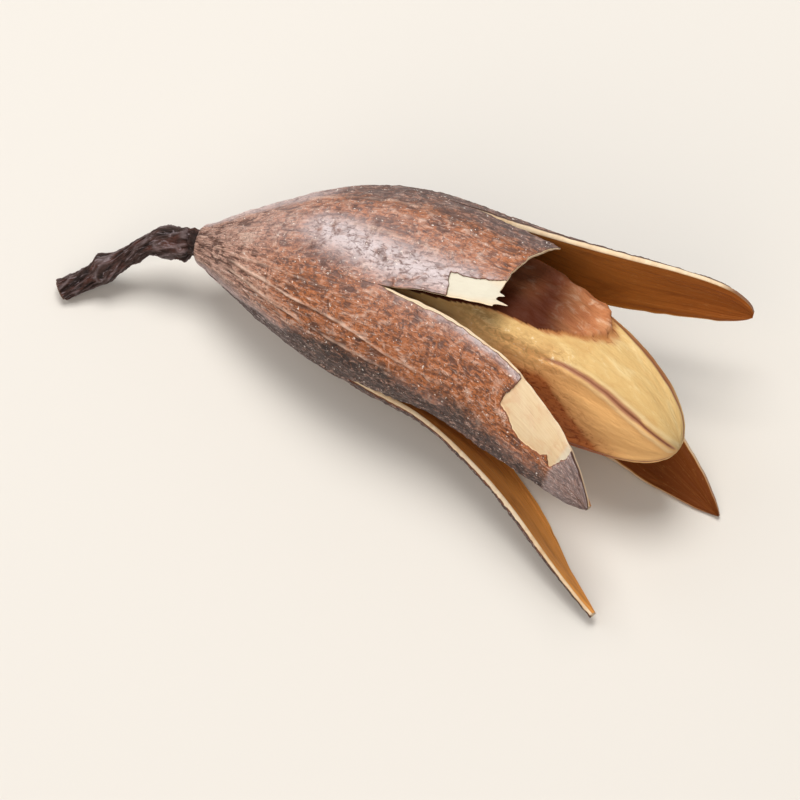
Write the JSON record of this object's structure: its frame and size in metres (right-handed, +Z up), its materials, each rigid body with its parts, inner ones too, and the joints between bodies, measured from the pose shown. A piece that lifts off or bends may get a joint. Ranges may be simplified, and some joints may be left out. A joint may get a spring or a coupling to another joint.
{
  "type": "toon seed pod",
  "caption": "Dry woody seed capsule lying on its side, split from its tip into thin pointed valves around a pale ridged core, on the end of a short knotted twig.",
  "frame": {"origin": "middle of the footprint's bounding box, on the surface that the pod lies on", "axes": "+X from the twig towards the open tip, +Z up"},
  "size_m": [0.0422, 0.0206, 0.0131],
  "materials": {
    "valve_skin": "matt, weathered",
    "pith": "matt, dry",
    "bark": "rough"
  },
  "bodies": {
    "root": {"valve_1": "valve_skin", "valve_2": "valve_skin", "valve_3": "valve_skin", "valve_4": "valve_skin", "valve_5": "valve_skin", "core": "pith", "collar": "bark", "twig": "bark"}
  },
  "joints": []
}
